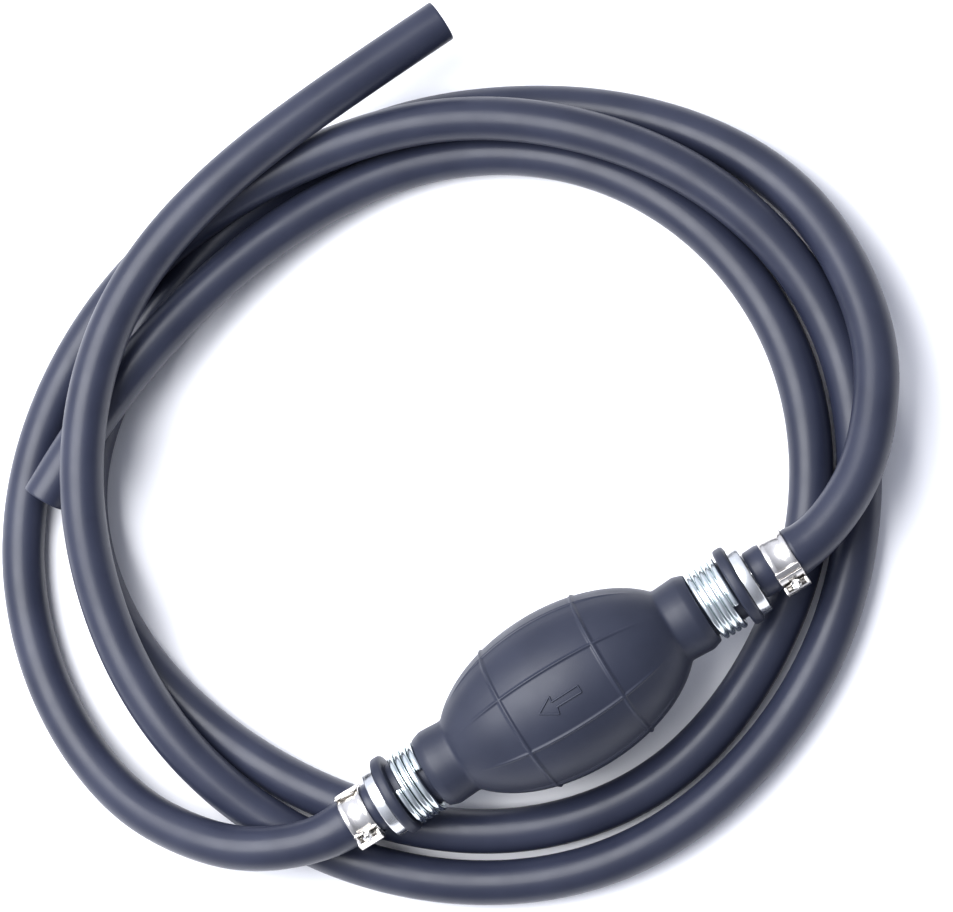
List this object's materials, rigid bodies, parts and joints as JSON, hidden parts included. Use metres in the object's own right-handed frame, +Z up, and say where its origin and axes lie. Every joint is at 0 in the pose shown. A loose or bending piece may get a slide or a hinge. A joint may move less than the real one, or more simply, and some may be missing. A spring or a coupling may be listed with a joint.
{
  "type": "hand siphon pump",
  "caption": "Hand siphon pump: a rubber squeeze bulb with check valves, coil clamps and worm drive clamps, and a loosely coiled hose on each end.",
  "frame": {"origin": "under the middle of the bulb, on the surface that the pump lies on", "axes": "+X along the bulb from its outlet end to its inlet end, against the flow; +Z up, through the bulb's crown"},
  "size_m": [0.304, 0.2718, 0.052],
  "materials": {
    "rubber": "satin",
    "zinc_wire": "bright zinc plate",
    "plated_fitting": "bright nickel plate",
    "stainless": "rolled stainless steel",
    "seal_rubber": "matte",
    "valve_plastic": "moulded",
    "spring_steel": "drawn wire"
  },
  "bodies": {
    "pump": {"squeeze_bulb": "rubber", "inlet_coil_clamp": "zinc_wire", "outlet_coil_clamp": "zinc_wire", "inlet_valve_body": "plated_fitting", "outlet_valve_body": "plated_fitting", "inlet_valve_seat": "seal_rubber", "outlet_valve_seat": "seal_rubber", "inlet_valve_retainer": "valve_plastic", "outlet_valve_retainer": "valve_plastic", "inlet_valve_spring": "spring_steel", "outlet_valve_spring": "spring_steel", "inlet_hose_cuff": "rubber", "outlet_hose_cuff": "rubber", "inlet_hose": "rubber", "outlet_hose": "rubber", "inlet_clamp_band": "stainless", "outlet_clamp_band": "stainless", "inlet_clamp_housing": "stainless", "outlet_clamp_housing": "stainless"},
    "crown": {"bulb_crown": "rubber"},
    "inlet_poppet": {"inlet_valve_poppet": "valve_plastic"},
    "outlet_poppet": {"outlet_valve_poppet": "valve_plastic"},
    "inlet_screw": {"inlet_clamp_screw": "stainless"},
    "outlet_screw": {"outlet_clamp_screw": "stainless"}
  },
  "joints": [
    {"name": "bulb_squeeze", "type": "slide", "parent": "pump", "child": "crown", "axis": [0, 0, -1], "range_m": [0, 0.015], "stiffness_N_per_m": 1500},
    {"name": "inlet_valve_lift", "type": "slide", "parent": "pump", "child": "inlet_poppet", "axis": [-1, 0, 0], "range_m": [0, 0.002], "stiffness_N_per_m": 30, "springref_m": -0.002, "deforming": ["inlet_valve_spring"]},
    {"name": "outlet_valve_lift", "type": "slide", "parent": "pump", "child": "outlet_poppet", "axis": [-1, 0, 0], "range_m": [0, 0.002], "stiffness_N_per_m": 30, "springref_m": -0.002, "deforming": ["outlet_valve_spring"]},
    {"name": "inlet_screw_turn", "type": "hinge", "parent": "pump", "child": "inlet_screw", "pos_m": [0.0776, -0.00995, 0.02705], "axis": [0, -0.1045, -0.9945], "continuous": true},
    {"name": "outlet_screw_turn", "type": "hinge", "parent": "pump", "child": "outlet_screw", "pos_m": [-0.075, -0.00906, 0.03023], "axis": [0, -0.4226, -0.9063], "continuous": true}
  ]
}
